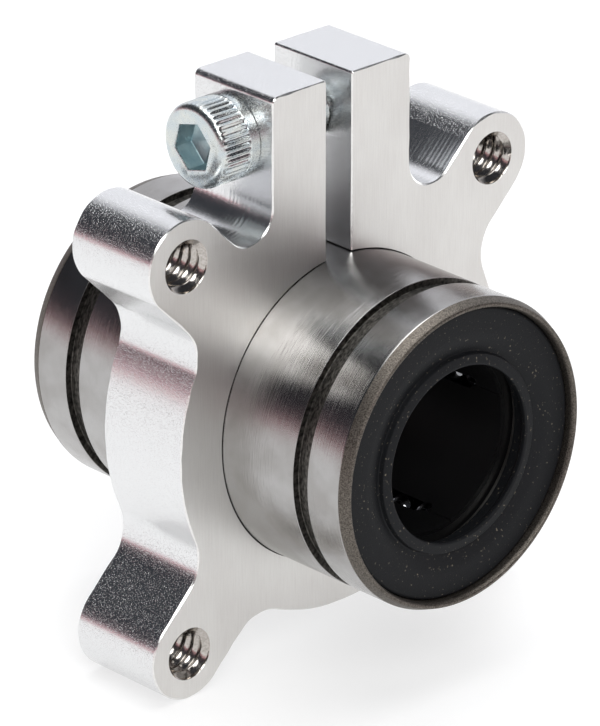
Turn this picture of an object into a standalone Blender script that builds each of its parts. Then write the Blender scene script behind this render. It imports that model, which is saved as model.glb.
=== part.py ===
"""Closed linear ball bushing held in a split flange clamp with four tapped lobes.

X runs across the clamp, Y along the shaft bore (the front is -Y) and Z up through the clamp ears.
The origin is under the middle of the clamp, at the foot of its two lower lobes.
Sizes are in millimetres and angles in degrees. Meshes and places are scaled to metres as they are made.
"""

import math

import bmesh
import bpy
from mathutils import Matrix, Vector

MM = 0.001

# Shaft and bushing, a standard 12 x 21 x 30 size
SHAFT_R = 6.0
SLEEVE_R = 10.5
SLEEVE_LENGTH = 30.0
SLEEVE_CHAMFER = 0.3
SLEEVE_CHAMFER_LENGTH = 0.5
RING_GROOVE_R = 10.0
RING_GROOVE_FROM_END = 3.5
RING_GROOVE_WIDTH = 1.3
SEAL_RECESS_R = 9.85
SEAL_RECESS_CHAMFER = 0.2
SEAL_RECESS_DEPTH = 2.75
BALL_RELIEF_R = 9.2
RELIEF_CUT_R = 9.25
RELIEF_STEPS = 14
RACE_LAND_CLEARANCE = 0.045
RACE_LAND_HALF_ANGLE = 9.0
RACE_RUNOUT = 0.3
RACE_RAMP = 0.1

# Balls: each circuit is a flat race track in the plane that touches the loaded row
BALL_R = 0.992
BALL_PITCH = 2.15
CIRCUITS = 4
FIRST_CIRCUIT_ANGLE = -75.0
LOADED_BALLS = 8
TURN_BALLS = 3
LINK_R = 0.2
BALL_RING_SIDES = 6

# Cage that guides the balls
CAGE_INNER_R = 6.35
CAGE_OUTER_R = 7.9
CAGE_LENGTH = 24.4
CHANNEL_R = 1.07
CHANNEL_SIDES = 10
CHANNEL_TURN_STEPS = 12

# End seals and the rings behind them
SEAL_R = 9.81
SEAL_LIP_R = 5.95
SEAL_LIP_LENGTH = 0.35
SEAL_FACE_DEPTH = 0.6
SEAL_THICKNESS = 1.4
SEAL_COLLAR_R = 6.8
SEAL_COLLAR_HEIGHT = 0.15
SEAL_THROAT_R = 6.4
SEAL_THROAT_TAPER = 0.45
SEAL_EDGE = 0.12
SEAL_LIP_EDGE = 0.1
STOP_RING_INNER_R = 6.9
STOP_RING_THICKNESS = 0.6
STACK_GAP = 0.06

# Clamp plate
CLAMP_THICKNESS = 7.3
CLAMP_BORE_R = SLEEVE_R + 0.03
CLAMP_BODY_R = 14.1
LOBE_R = 3.15
LOBE_CIRCLE_R = 19.05
LOBE_HOLE_R = 1.62
LOBE_FILLET_R = 3.0
VALLEY_FILLET_R = 2.0
EAR_TOP = 22.8
EAR_LEFT = 6.08
EAR_RIGHT = 5.97
EAR_CORNER_R = 0.4
SLOT_LEFT = 1.39
SLOT_RIGHT = 0.82
SLOT_CORNER_R = 0.2
EDGE_CHAMFER = 0.08
HOLE_CHAMFER = 0.2

# Clamp screw, a socket head cap screw across the ears
SCREW_HEIGHT = 19.27
SCREW_ALONG = 0.28
SCREW_R = 1.75
SCREW_LENGTH = 12.7
SCREW_TIP_CHAMFER = 0.5
SCREW_CLEARANCE_R = 1.95
SCREW_TAPPED_R = 1.79
SCREW_SEAT_GAP = 0.02
HEAD_R = 2.85
HEAD_HEIGHT = 3.25
HEAD_BAND = 0.7
HEAD_RIM_CHAMFER = 0.35
KNURL_COUNT = 44
KNURL_DEPTH = 0.14
HEX_FLATS = 2.95
HEX_TURN = 45.0
HEX_DEPTH = 1.4
HEX_CONE_DEPTH = 0.35
HEX_CONE_SCALE = 0.08

# How far cutters reach past the metal, and how finely round shapes are divided
CUT_OVERRUN = 1.0
SHARP_ANGLE = 32.0
SLEEVE_SEGMENTS = 64
SEAL_SEGMENTS = 48
HOLE_SEGMENTS = 20
SCREW_SEGMENTS = 24

# What follows from the sizes above
AXIS_HEIGHT = LOBE_CIRCLE_R / math.sqrt(2) + LOBE_R
HALF_SLEEVE = SLEEVE_LENGTH / 2
LOADED_ROW_R = SHAFT_R + BALL_R
TURN_R = TURN_BALLS * BALL_PITCH / math.pi
ROW_SPACING = 2 * TURN_R
HALF_STRAIGHT = LOADED_BALLS * BALL_PITCH / 2
RACE_LAND_R = LOADED_ROW_R + BALL_R + RACE_LAND_CLEARANCE


# ---------------------------------------------------------------- helpers


def clear_scene():
    for obj in list(bpy.data.objects):
        bpy.data.objects.remove(obj, do_unlink=True)


def finish(name, colour, roughness, metallic):
    """A Principled material with one colour, roughness and metallic value."""
    material = bpy.data.materials.new(name)
    material.use_nodes = True
    shader = material.node_tree.nodes["Principled BSDF"]
    shader.inputs["Base Color"].default_value = (*colour, 1.0)
    shader.inputs["Roughness"].default_value = roughness
    shader.inputs["Metallic"].default_value = metallic
    return material


def make_finishes():
    return {
        "clamp_aluminium": finish("clamp_aluminium", (0.78, 0.78, 0.79), 0.28, 1.0),
        "zinc_plate": finish("zinc_plate", (0.62, 0.68, 0.73), 0.30, 1.0),
        "ground_steel": finish("ground_steel", (0.48, 0.47, 0.46), 0.22, 1.0),
        "ring_steel": finish("ring_steel", (0.40, 0.39, 0.38), 0.40, 1.0),
        "ball_steel": finish("ball_steel", (0.80, 0.80, 0.82), 0.08, 1.0),
        "black_resin": finish("black_resin", (0.018, 0.018, 0.020), 0.45, 0.0),
        "seal_rubber": finish("seal_rubber", (0.030, 0.031, 0.033), 0.62, 0.0),
    }


def mount_point(name, parent=None, location=(0, 0, 0), rotation=(0, 0, 0)):
    """An empty that pieces are parented to. Its place is in millimetres."""
    empty = bpy.data.objects.new(name, None)
    bpy.context.scene.collection.objects.link(empty)
    return placed(empty, parent, location, rotation)


def placed(obj, parent, location=(0, 0, 0), rotation=(0, 0, 0)):
    obj.parent = parent
    obj.location = Vector(location) * MM
    obj.rotation_euler = rotation
    return obj


def piece(name, bm, material, parent, location=(0, 0, 0), rotation=(0, 0, 0)):
    """Turns a bmesh in millimetres into a named object in metres with its faces pointing out."""
    bmesh.ops.remove_doubles(bm, verts=bm.verts, dist=1e-5)
    bmesh.ops.recalc_face_normals(bm, faces=bm.faces)
    bm.transform(Matrix.Scale(MM, 4))
    mesh = bpy.data.meshes.new(name)
    bm.to_mesh(mesh)
    bm.free()
    mesh.shade_smooth()
    mesh.set_sharp_from_angle(angle=math.radians(SHARP_ANGLE))
    mesh.materials.append(material)
    obj = bpy.data.objects.new(name, mesh)
    bpy.context.scene.collection.objects.link(obj)
    return placed(obj, parent, location, rotation)


def cut(obj, *cutters):
    """Subtracts helper objects from obj, and keeps them as hidden guides."""
    for cutter in cutters:
        cutter.hide_render = True
        cutter.display_type = "WIRE"
        modifier = obj.modifiers.new("cut_" + cutter.name, "BOOLEAN")
        modifier.operation = "DIFFERENCE"
        modifier.solver = "EXACT"
        modifier.object = cutter


def arc(centre, radius, start, end, steps):
    """Points on an arc about centre, with both ends included."""
    angles = [math.radians(start + (end - start) * i / steps) for i in range(steps + 1)]
    return [(centre[0] + radius * math.cos(a), centre[1] + radius * math.sin(a)) for a in angles]


def without_doubles(points, closest=1e-4):
    """Drops a point that repeats the one before it, also across the end of the loop."""
    kept = []
    for point in points:
        if not kept or math.dist(point, kept[-1]) > closest:
            kept.append(point)
    return kept[:-1] if math.dist(kept[0], kept[-1]) <= closest else kept


def turned(profile, segments):
    """A closed profile of (radius, along) points turned about the Y axis."""
    bm = bmesh.new()
    verts = [bm.verts.new((radius, along, 0)) for radius, along in profile]
    edges = [bm.edges.new((a, b)) for a, b in zip(verts, verts[1:] + verts[:1])]
    bmesh.ops.spin(
        bm, geom=verts + edges, cent=(0, 0, 0), axis=(0, 1, 0), angle=math.tau, steps=segments, use_merge=True
    )
    return bm


def mirrored(half):
    """A profile that runs up to the middle plane, continued by its mirror image."""
    return half + [(radius, -along) for radius, along in reversed(half)]


def lofted(rings):
    """A closed body through rings of equal point count, with a flat face on each end."""
    bm = bmesh.new()
    loops = [[bm.verts.new(point) for point in ring] for ring in rings]
    for low, high in zip(loops, loops[1:]):
        for i in range(len(low)):
            j = (i + 1) % len(low)
            bm.faces.new((low[i], low[j], high[j], high[i]))
    bm.faces.new(loops[0])
    bm.faces.new(loops[-1])
    return bm


def cylinder(radius, length, segments):
    """A plain cylinder along Z, centred on its middle."""
    bm = bmesh.new()
    bmesh.ops.create_cone(
        bm, cap_ends=True, segments=segments, radius1=radius, radius2=radius, depth=length
    )
    return bm


# ---------------------------------------------------------------- clamp


def lobe(direction, inset, valley_before=None, valley_after=None):
    """The outline round one lobe, counter-clockwise, with the concave fillets at its root.

    A lobe beside an ear shares one fillet, the valley, with that ear instead of meeting the body.
    """
    side = LOBE_R + LOBE_FILLET_R
    along = math.sqrt((CLAMP_BODY_R + LOBE_FILLET_R) ** 2 - side**2)
    root = math.degrees(math.atan2(side, along))
    fillet = LOBE_FILLET_R + inset
    points = []
    if valley_before:
        points += valley_before
    else:
        points += turned_points(arc((along, -side), fillet, 180 - root, 90, 5), direction)
    points += turned_points(arc((LOBE_CIRCLE_R, 0), LOBE_R - inset, -90, 90, 10), direction)
    if valley_after:
        points += valley_after
    else:
        points += turned_points(arc((along, side), fillet, -90, root - 180, 5), direction)
    return points


def turned_points(points, direction):
    c, s = math.cos(math.radians(direction)), math.sin(math.radians(direction))
    return [(c * x - s * z, s * x + c * z) for x, z in points]


def body_arc(start_lobe, end_lobe, inset):
    """The round edge of the plate between the fillets of two neighbouring lobes."""
    side = LOBE_R + LOBE_FILLET_R
    root = math.degrees(math.asin(side / (CLAMP_BODY_R + LOBE_FILLET_R)))
    return arc((0, 0), CLAMP_BODY_R - inset, start_lobe + root, end_lobe - root, 12)


def valley_centre(ear_face):
    """The fillet that touches both an ear's outer face and the near side of its lobe."""
    x = ear_face + VALLEY_FILLET_R
    return x, x + math.sqrt(2) * (LOBE_R + VALLEY_FILLET_R)


def ears_and_bore(inset):
    """Over the right ear, down the slot, round the bore and up over the left ear."""
    bore = CLAMP_BORE_R + inset
    right, left = SLOT_RIGHT + inset, SLOT_LEFT + inset
    right_angle = math.degrees(math.acos(right / bore))
    left_angle = 180 - math.degrees(math.acos(left / bore))
    outer, inner = EAR_CORNER_R, SLOT_CORNER_R
    top = EAR_TOP - inset
    points = arc((EAR_RIGHT - inset - outer, top - outer), outer, 0, 90, 3)
    points += arc((right + inner, top - inner), inner, 90, 180, 2)
    points += arc((0, 0), bore, right_angle, left_angle - 360, 66)
    points += arc((-left - inner, top - inner), inner, 0, 90, 2)
    points += arc((-EAR_LEFT + inset + outer, top - outer), outer, 90, 180, 3)
    return points


def clamp_outline(inset):
    """The clamp's outline in X and height above the bore axis, drawn in by inset for a chamfer."""
    fillet = VALLEY_FILLET_R + inset
    right_x, right_z = valley_centre(EAR_RIGHT)
    left_x, left_z = valley_centre(EAR_LEFT)
    right_valley = arc((right_x, right_z), fillet, -45, -180, 7)
    left_valley = arc((-left_x, left_z), fillet, 0, -135, 7)
    points = lobe(45, inset, valley_after=right_valley)
    points += ears_and_bore(inset)
    points += lobe(135, inset, valley_before=left_valley)
    points += body_arc(135, 225, inset) + lobe(225, inset)
    points += body_arc(225, 315, inset) + lobe(315, inset)
    points += body_arc(315, 405, inset)
    return without_doubles(points)


def lobe_centres():
    return [turned_points([(LOBE_CIRCLE_R, 0)], angle)[0] for angle in (45, 135, 225, 315)]


def clamp_loops(edge_inset, hole_inset):
    """The outline and the four hole circles at one depth of the plate."""
    holes = [arc(centre, LOBE_HOLE_R + hole_inset, 0, 360, HOLE_SEGMENTS)[:-1] for centre in lobe_centres()]
    return [clamp_outline(edge_inset), *holes]


def clamp_plate():
    """The plate between chamfered faces: a wall along each loop, and the two faces filled in."""
    half = CLAMP_THICKNESS / 2
    levels = [
        (-half, EDGE_CHAMFER, HOLE_CHAMFER),
        (-half + EDGE_CHAMFER, 0, 0),
        (half - EDGE_CHAMFER, 0, 0),
        (half, EDGE_CHAMFER, HOLE_CHAMFER),
    ]
    bm = bmesh.new()
    stacks = []
    for depth, edge_inset, hole_inset in levels:
        loops = clamp_loops(edge_inset, hole_inset)
        stacks.append([[bm.verts.new((x, depth, z)) for x, z in loop] for loop in loops])
    for low, high in zip(stacks, stacks[1:]):
        for a, b in zip(low, high):
            for i in range(len(a)):
                j = (i + 1) % len(a)
                bm.faces.new((a[i], a[j], b[j], b[i]))
    for stack in (stacks[0], stacks[-1]):
        edges = [bm.edges.get((loop[i - 1], loop[i])) for loop in stack for i in range(len(loop))]
        bmesh.ops.triangle_fill(bm, use_beauty=True, edges=edges)
    return bm


def build_clamp(finishes, bore_axis):
    housing = piece("clamp_housing", clamp_plate(), finishes["clamp_aluminium"], bore_axis)
    across = (0, math.radians(90), 0)
    ear = EAR_RIGHT + CUT_OVERRUN
    bores = []
    for name, radius, side in (
        ("screw_clearance_bore", SCREW_CLEARANCE_R, -1),
        ("screw_tapped_bore", SCREW_TAPPED_R, 1),
    ):
        bm = cylinder(radius, ear, SCREW_SEGMENTS)
        place = (side * ear / 2, SCREW_ALONG, SCREW_HEIGHT)
        bores.append(piece(name, bm, finishes["clamp_aluminium"], bore_axis, place, across))
    cut(housing, *bores)


# ---------------------------------------------------------------- clamp screw


def knurled_ring(radius, depth, height):
    """A ring with one crest and one root for each flute. A depth of 0 makes it plain."""
    count = 2 * KNURL_COUNT
    ring = []
    for i in range(count):
        angle = math.tau * i / count
        r = radius - depth * (i % 2)
        ring.append((r * math.cos(angle), r * math.sin(angle), height))
    return ring


def screw_body():
    """Head upwards along Z, with its underside at height 0 and the shank below it."""
    head_face = HEAD_R - HEAD_RIM_CHAMFER
    tip = SCREW_R - SCREW_TIP_CHAMFER
    rings = [
        knurled_ring(tip, 0, -SCREW_LENGTH),
        knurled_ring(SCREW_R, 0, -SCREW_LENGTH + SCREW_TIP_CHAMFER),
        knurled_ring(SCREW_R, 0, 0),
        knurled_ring(HEAD_R, 0, 0),
        knurled_ring(HEAD_R, 0, HEAD_BAND),
        knurled_ring(HEAD_R, KNURL_DEPTH, HEAD_BAND + KNURL_DEPTH),
        knurled_ring(HEAD_R, KNURL_DEPTH, HEAD_HEIGHT - HEAD_RIM_CHAMFER),
        knurled_ring(head_face, 0, HEAD_HEIGHT),
    ]
    return lofted(rings)


def hex_socket():
    """A hexagonal pit with a drilled cone at its bottom, as a cutter."""
    corner = HEX_FLATS / math.sqrt(3)
    above = HEAD_HEIGHT + CUT_OVERRUN
    floor = HEAD_HEIGHT - HEX_DEPTH

    def hexagon(scale, height):
        angles = [math.radians(60 * i + HEX_TURN) for i in range(6)]
        return [(scale * corner * math.cos(a), scale * corner * math.sin(a), height) for a in angles]

    return lofted([hexagon(HEX_CONE_SCALE, floor - HEX_CONE_DEPTH), hexagon(1, floor), hexagon(1, above)])


def build_screw(finishes, bore_axis):
    seat = (-EAR_LEFT - SCREW_SEAT_GAP, SCREW_ALONG, SCREW_HEIGHT)
    axis = mount_point("screw_axis", bore_axis, seat, (0, math.radians(-90), 0))
    screw = piece("clamp_screw", screw_body(), finishes["zinc_plate"], axis)
    cut(screw, piece("hex_socket_cutter", hex_socket(), finishes["zinc_plate"], axis))


# ---------------------------------------------------------------- bushing shell


def sleeve_profile():
    """The hardened outer sleeve in section: chamfers and grooves outside, recess, relief and land inside."""
    end = -HALF_SLEEVE
    groove = end + RING_GROOVE_FROM_END
    recess = end + SEAL_RECESS_DEPTH
    land = -HALF_STRAIGHT - RACE_RUNOUT
    outside = [
        (SLEEVE_R - SLEEVE_CHAMFER, end),
        (SLEEVE_R, end + SLEEVE_CHAMFER_LENGTH),
        (SLEEVE_R, groove),
        (RING_GROOVE_R, groove),
        (RING_GROOVE_R, groove + RING_GROOVE_WIDTH),
        (SLEEVE_R, groove + RING_GROOVE_WIDTH),
    ]
    inside = [
        (SEAL_RECESS_R + SEAL_RECESS_CHAMFER, end),
        (SEAL_RECESS_R, end + SEAL_RECESS_CHAMFER),
        (SEAL_RECESS_R, recess),
        (BALL_RELIEF_R, recess),
        (BALL_RELIEF_R, land - RACE_RAMP),
        (RACE_LAND_R, land),
    ]
    return mirrored(outside) + mirrored(inside)[::-1]


def sector(inner, outer, start, end, length, steps):
    """A block between two radii and two angles about the Y axis, as a cutter."""
    section = arc((0, 0), inner, start, end, steps) + arc((0, 0), outer, end, start, steps)
    return lofted([[(x, y, z) for x, z in section] for y in (-length / 2, length / 2)])


def build_sleeve(finishes, bushing):
    sleeve = piece("outer_sleeve", turned(sleeve_profile(), SLEEVE_SEGMENTS), finishes["ground_steel"], bushing)
    for k in range(CIRCUITS):
        start = FIRST_CIRCUIT_ANGLE + 90 * k + RACE_LAND_HALF_ANGLE
        end = start + 90 - 2 * RACE_LAND_HALF_ANGLE
        length = 2 * HALF_STRAIGHT + CUT_OVERRUN
        relief = sector(RACE_LAND_R - CUT_OVERRUN, RELIEF_CUT_R, start, end, length, RELIEF_STEPS)
        cut(sleeve, piece(f"race_relief_{k + 1}", relief, finishes["ground_steel"], bushing))


def seal_profile(side):
    """Rubber end seal: thin wiping lip, raised collar round it and a flat outer face."""
    face = HALF_SLEEVE - SEAL_FACE_DEPTH
    back = face - SEAL_THICKNESS
    collar = face + SEAL_COLLAR_HEIGHT
    lip = collar - SEAL_LIP_LENGTH
    points = [
        (SEAL_R, back),
        (SEAL_R, face - SEAL_EDGE),
        (SEAL_R - SEAL_EDGE, face),
        (SEAL_COLLAR_R, face),
        (SEAL_COLLAR_R - SEAL_EDGE, collar),
        (SEAL_LIP_R + SEAL_LIP_EDGE, collar),
        (SEAL_LIP_R, collar - SEAL_LIP_EDGE),
        (SEAL_LIP_R, lip - SEAL_LIP_EDGE),
        (SEAL_THROAT_R, lip - SEAL_THROAT_TAPER),
        (SEAL_THROAT_R, back),
    ]
    return [(radius, side * along) for radius, along in points]


def stop_ring_profile(side):
    """Flat steel ring that keeps the cage in the sleeve and backs the seal."""
    outer = HALF_SLEEVE - SEAL_FACE_DEPTH - SEAL_THICKNESS - STACK_GAP
    inner = outer - STOP_RING_THICKNESS
    points = [(SEAL_R, inner), (SEAL_R, outer), (STOP_RING_INNER_R, outer), (STOP_RING_INNER_R, inner)]
    return [(radius, side * along) for radius, along in points]


def build_ends(finishes, bushing):
    for end, side in (("front", -1), ("rear", 1)):
        seal = turned(seal_profile(side), SEAL_SEGMENTS)
        piece(f"{end}_seal", seal, finishes["seal_rubber"], bushing)
        ring = turned(stop_ring_profile(side), SEAL_SEGMENTS)
        piece(f"{end}_stop_ring", ring, finishes["ring_steel"], bushing)


# ---------------------------------------------------------------- balls and cage


def circuit_frame(name, k, parent):
    """An empty whose Z points out through the loaded row of circuit k, with Y along the bore."""
    angle = math.radians(FIRST_CIRCUIT_ANGLE + 90 * k)
    return mount_point(name, parent, (0, 0, 0), (0, math.pi / 2 - angle, 0))


def race_track(steps):
    """The circuit's centre line as (x, y, heading), from the loaded row at x = 0 round to it again."""
    points = []
    for centre_y, start in ((HALF_STRAIGHT, 0), (-HALF_STRAIGHT, 180)):
        for x, y in arc((-TURN_R, centre_y), TURN_R, start, start + 180, steps):
            points.append((x, y, math.atan2(y - centre_y, x + TURN_R)))
    return points


def channel_cutter():
    """A closed tube along the race track: a circle carried round it, level with the loaded row."""
    bm = bmesh.new()
    rings = []
    for x, y, heading in race_track(CHANNEL_TURN_STEPS):
        ring = []
        for i in range(CHANNEL_SIDES):
            angle = math.tau * (i + 0.5) / CHANNEL_SIDES
            out = CHANNEL_R * math.cos(angle)
            up = CHANNEL_R * math.sin(angle)
            ring.append(
                bm.verts.new((x + out * math.cos(heading), y + out * math.sin(heading), LOADED_ROW_R + up))
            )
        rings.append(ring)
    for low, high in zip(rings, rings[1:] + rings[:1]):
        for i in range(CHANNEL_SIDES):
            j = (i + 1) % CHANNEL_SIDES
            bm.faces.new((low[i], low[j], high[j], high[i]))
    return bm


def build_cage(finishes, bushing):
    profile = mirrored([(CAGE_OUTER_R, -CAGE_LENGTH / 2)]) + mirrored([(CAGE_INNER_R, -CAGE_LENGTH / 2)])[::-1]
    cage = piece("ball_cage", turned(profile, SEAL_SEGMENTS), finishes["black_resin"], bushing)
    for k in range(CIRCUITS):
        frame = circuit_frame(f"channel_axis_{k + 1}", k, bushing)
        cut(cage, piece(f"channel_{k + 1}", channel_cutter(), finishes["black_resin"], frame))


def ball_mesh():
    bm = bmesh.new()
    bmesh.ops.create_icosphere(bm, subdivisions=2, radius=BALL_R)
    return bm


def ball_string(places, centre_line):
    """Balls on a line, joined by hair-thin links so that the row is one body.

    centre_line turns a distance into a point and the direction of travel there. Each ball is five
    rings: two where the links meet it, and three across its middle.
    """
    rings = []
    link_offset = math.sqrt(BALL_R**2 - LINK_R**2)
    for place in places:
        for offset in (-link_offset, -BALL_R * 0.7071, 0, BALL_R * 0.7071, link_offset):
            radius = math.sqrt(BALL_R**2 - offset**2)
            centre, forward = centre_line(place + offset)
            side = Vector((forward.y, -forward.x, 0))
            ring = []
            for i in range(BALL_RING_SIDES):
                angle = math.tau * i / BALL_RING_SIDES
                ring.append(centre + radius * (math.cos(angle) * side + math.sin(angle) * Vector((0, 0, 1))))
            rings.append(ring)
    return lofted(rings)


def straight_line(distance):
    return Vector((0, distance, 0)), Vector((0, 1, 0))


def turn_line(distance):
    """Half a circle about the origin, from +X round through +Y."""
    angle = distance / TURN_R
    centre = Vector((TURN_R * math.cos(angle), TURN_R * math.sin(angle), 0))
    return centre, Vector((-math.sin(angle), math.cos(angle), 0))


def build_balls(finishes, bushing):
    """Four circuits: eight loaded balls each, a return row, and a turn at either end."""
    steel = finishes["ball_steel"]
    row = [(i - (LOADED_BALLS - 1) / 2) * BALL_PITCH for i in range(LOADED_BALLS)]
    turn = [(i + 0.5) * BALL_PITCH for i in range(TURN_BALLS)]
    for k in range(CIRCUITS):
        name = f"circuit_{k + 1}"
        frame = circuit_frame(name, k, bushing)
        for i, along in enumerate(row):
            piece(f"{name}_ball_{i + 1}", ball_mesh(), steel, frame, (0, along, LOADED_ROW_R))
        returning = ball_string(row, straight_line)
        piece(f"{name}_return_row", returning, steel, frame, (-ROW_SPACING, 0, LOADED_ROW_R))
        for end, side, spin in (("front", -1, math.pi), ("rear", 1, 0)):
            place = (-TURN_R, side * HALF_STRAIGHT, LOADED_ROW_R)
            piece(f"{name}_{end}_turn", ball_string(turn, turn_line), steel, frame, place, (0, 0, spin))


def main():
    clear_scene()
    finishes = make_finishes()
    bore_axis = mount_point("bore_axis", None, (0, 0, AXIS_HEIGHT))
    bushing = mount_point("bushing_axis", bore_axis)
    build_clamp(finishes, bore_axis)
    build_screw(finishes, bore_axis)
    build_sleeve(finishes, bushing)
    build_ends(finishes, bushing)
    build_cage(finishes, bushing)
    build_balls(finishes, bushing)


main()
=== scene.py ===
"""Looks of a linear ball bushing held in a split flange clamp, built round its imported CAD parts.

X runs across the clamp, Y along the shaft bore (the front is -Y) and Z up through the clamp ears.
Shapes are worked out in millimetres about the bore axis, and each piece is moved up to that axis
and scaled to metres as it is made. Angles are degrees in the constants and in the clamp's list of
arcs, and radians elsewhere.

A piece is a list of patches. A patch is a grid of points over two parameters, or a flat region
filled in between loops of points. Its faces carry a number that picks one of the piece's finishes.
"""

import math

import bmesh
import bpy
import numpy as np
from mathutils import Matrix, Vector
from mathutils.geometry import tessellate_polygon


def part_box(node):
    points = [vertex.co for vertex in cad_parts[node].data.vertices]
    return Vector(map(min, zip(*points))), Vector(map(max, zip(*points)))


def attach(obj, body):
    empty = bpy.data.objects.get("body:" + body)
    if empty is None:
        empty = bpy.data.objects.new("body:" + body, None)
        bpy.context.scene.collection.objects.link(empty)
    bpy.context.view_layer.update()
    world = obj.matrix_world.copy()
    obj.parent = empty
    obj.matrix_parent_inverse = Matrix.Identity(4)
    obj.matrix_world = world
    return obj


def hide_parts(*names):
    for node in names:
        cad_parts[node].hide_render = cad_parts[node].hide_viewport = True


MM = 0.001

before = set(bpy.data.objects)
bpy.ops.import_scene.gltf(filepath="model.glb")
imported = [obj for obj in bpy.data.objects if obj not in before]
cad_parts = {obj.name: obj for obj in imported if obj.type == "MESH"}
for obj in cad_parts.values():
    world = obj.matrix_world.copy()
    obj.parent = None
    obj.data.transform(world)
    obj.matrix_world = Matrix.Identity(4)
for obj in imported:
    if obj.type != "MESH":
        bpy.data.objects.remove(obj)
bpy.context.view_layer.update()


def node_box(node):
    """Lowest and highest corner of a CAD node, in millimetres."""
    return [np.array(corner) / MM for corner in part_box(node)]


sleeve_low, sleeve_high = node_box("outer_sleeve")
_, clamp_high = node_box("clamp_housing")
_, seal_high = node_box("front_seal")
screw_low, screw_high = node_box("clamp_screw")

# Bore axis and clamp plate
AXIS_HEIGHT = (sleeve_low[2] + sleeve_high[2]) / 2
PLATE_HALF = clamp_high[1]
SLEEVE_R = sleeve_high[0]
SLEEVE_HALF = sleeve_high[1]
CLAMP_BORE_R = SLEEVE_R + 0.05
BODY_R = 14.1
LOBE_R = 3.15
LOBE_CIRCLE_R = 19.05
LOBE_ANGLES = (45, 135, 225, 315)
LOBE_FILLET_R = 3.0
VALLEY_FILLET_R = 2.0
EAR_TOP = clamp_high[2] - AXIS_HEIGHT
EAR_LEFT, EAR_RIGHT = 6.08, 5.97
EAR_CORNER_R = 0.5
VALLEY_END, VALLEY_LOW, VALLEY_HIGH = 11.2, 13.0, 15.8  # reach of the hollow beside an ear, across and up
SLOT_LEFT, SLOT_RIGHT = 1.39, 0.82
SLOT_CORNER_R = 0.2
BORE_CORNER_R = 0.06
EDGE_CHAMFER = 0.08
BORE_CHAMFER = 0.025
CHAMFER_WANDER = 0.3  # share by which hand deburring changes the chamfer along the edge
CHAMFER_WAVES = 160
ARC_STEP = 3.0
SHORTEST_STRAIGHT = 0.05

# Tapped holes in the lobes and the screw across the ears, a 6-32 thread
THREAD_PITCH = 0.794
THREAD_MAJOR_R = 1.75
THREAD_MINOR_R = 1.38
HOLE_MOUTH_R = 1.8
MOUTH_SLOPE = 1.2
HOLE_SEGMENTS = 72
SCREW_HEIGHT = (screw_low[2] + screw_high[2]) / 2 - AXIS_HEIGHT
SCREW_ALONG = (screw_low[1] + screw_high[1]) / 2
CLEARANCE_R = 1.95
TAPPED_R = 1.79
TAPPED_ROOT_R = 2.06
EAR_HOLE_CHAMFER = 0.12
EAR_MOUTH_DEPTH = 0.3
HEAD_R = 2.85
HEAD_HEIGHT = 3.25
HEAD_X = screw_low[0] + HEAD_HEIGHT
HEAD_BAND = 0.75
HEAD_RIM = 0.55
KNURLS = 44
KNURL_STEPS = 9
KNURL_DEPTH = 0.11
HEX_FLATS = 2.95
HEX_FLAT_ANGLE = 15.0
HEX_DEPTH = 1.4
HEX_CONE = 0.35
DRILL_FLAT_R = 0.25
NECK_LENGTH = 0.8
NECK_R = THREAD_MINOR_R + 0.02
UNDERHEAD_FILLET = 0.15
TIP_R = THREAD_MINOR_R - 0.25
SCREW_LENGTH = screw_high[0] - HEAD_X

# Bushing
RIM_R = 10.2
RIM_LENGTH = 0.75
RECESS_R = seal_high[0] + 0.04
RECESS_DEPTH = 2.75
GROOVE_R = 10.0
GROOVE_START = 3.5
GROOVE_WIDTH = 1.3
SLEEVE_BORE_R = 9.2
SEAL_R = seal_high[0]
LIP_R = 5.95
THROAT_R = 6.4
COLLAR_R = 6.75
SEAL_FACE = 0.6
SEAL_BACK = 2.0
RING_BORE_R = 6.9
ROUND_SEGMENTS = 240

# Balls and the lips of the cage that hold them
LIP_WALL_INNER_R = 6.12
LIP_WALL_OUTER_R = 6.33
LIP_WALL_HALF = 12.1
LIP_CLEARANCE = 0.03
LIP_SLOT_OVERRUN = 0.5
BALL_R = 0.992
BALL_PITCH = 2.15
CIRCUITS = 4
FIRST_CIRCUIT_ANGLE = -75.0
LOADED_BALLS = 8
TURN_BALLS = 3
LOADED_ROW_R = 6.992
TURN_R = TURN_BALLS * BALL_PITCH / math.pi
HALF_STRAIGHT = LOADED_BALLS * BALL_PITCH / 2

# Meshes: points closer than a weld become one, POLE_R stands for no radius at a pole, and faces that
# meet at more than a sharp angle show an edge
WELD = 0.0002
CAGE_WELD = 0.001
POLE_R = 1e-6
SHARP_ANGLE = 30
SCREW_SHARP_ANGLE = 34
CAGE_SHARP_ANGLE = 35

# Camera, and the half width of the floor in metres
CAMERA_AZIMUTH, CAMERA_ELEVATION = -43.23, 23.54
CAMERA_DISTANCE, CAMERA_LEFT, CAMERA_UP = 405.9, 2.715, 2.661
LENS = 310.8
FLOOR_HALF = 4.0

rng = np.random.default_rng(7)


# ---------------------------------------------------------------- patches


def grid(points, round_u=False, round_v=False, marks=0):
    """Quads over an (n, m, 3) array: each joins a point to the next along both parameters.

    marks numbers the finish of each row of quads.
    """
    n, m = points.shape[:2]
    i = np.arange(n if round_u else n - 1)[:, None]
    j = np.arange(m if round_v else m - 1)[None, :]
    i_next, j_next = (i + 1) % n, (j + 1) % m
    corners = [i * m + j, i * m + j_next, i_next * m + j_next, i_next * m + j]
    quads = np.stack(np.broadcast_arrays(*corners), axis=-1).reshape(-1, 4)
    rows = np.broadcast_to(np.atleast_1d(marks)[:, None], (i.size, j.size))
    return points.reshape(-1, 3), quads.tolist(), rows.ravel()


def filled(loops, mark):
    """Triangles between an outer loop and the holes in it, all in one plane."""
    triangles = tessellate_polygon([[Vector(p) for p in loop] for loop in loops])
    return np.concatenate(loops), [list(t) for t in triangles], np.full(len(triangles), mark)


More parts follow.
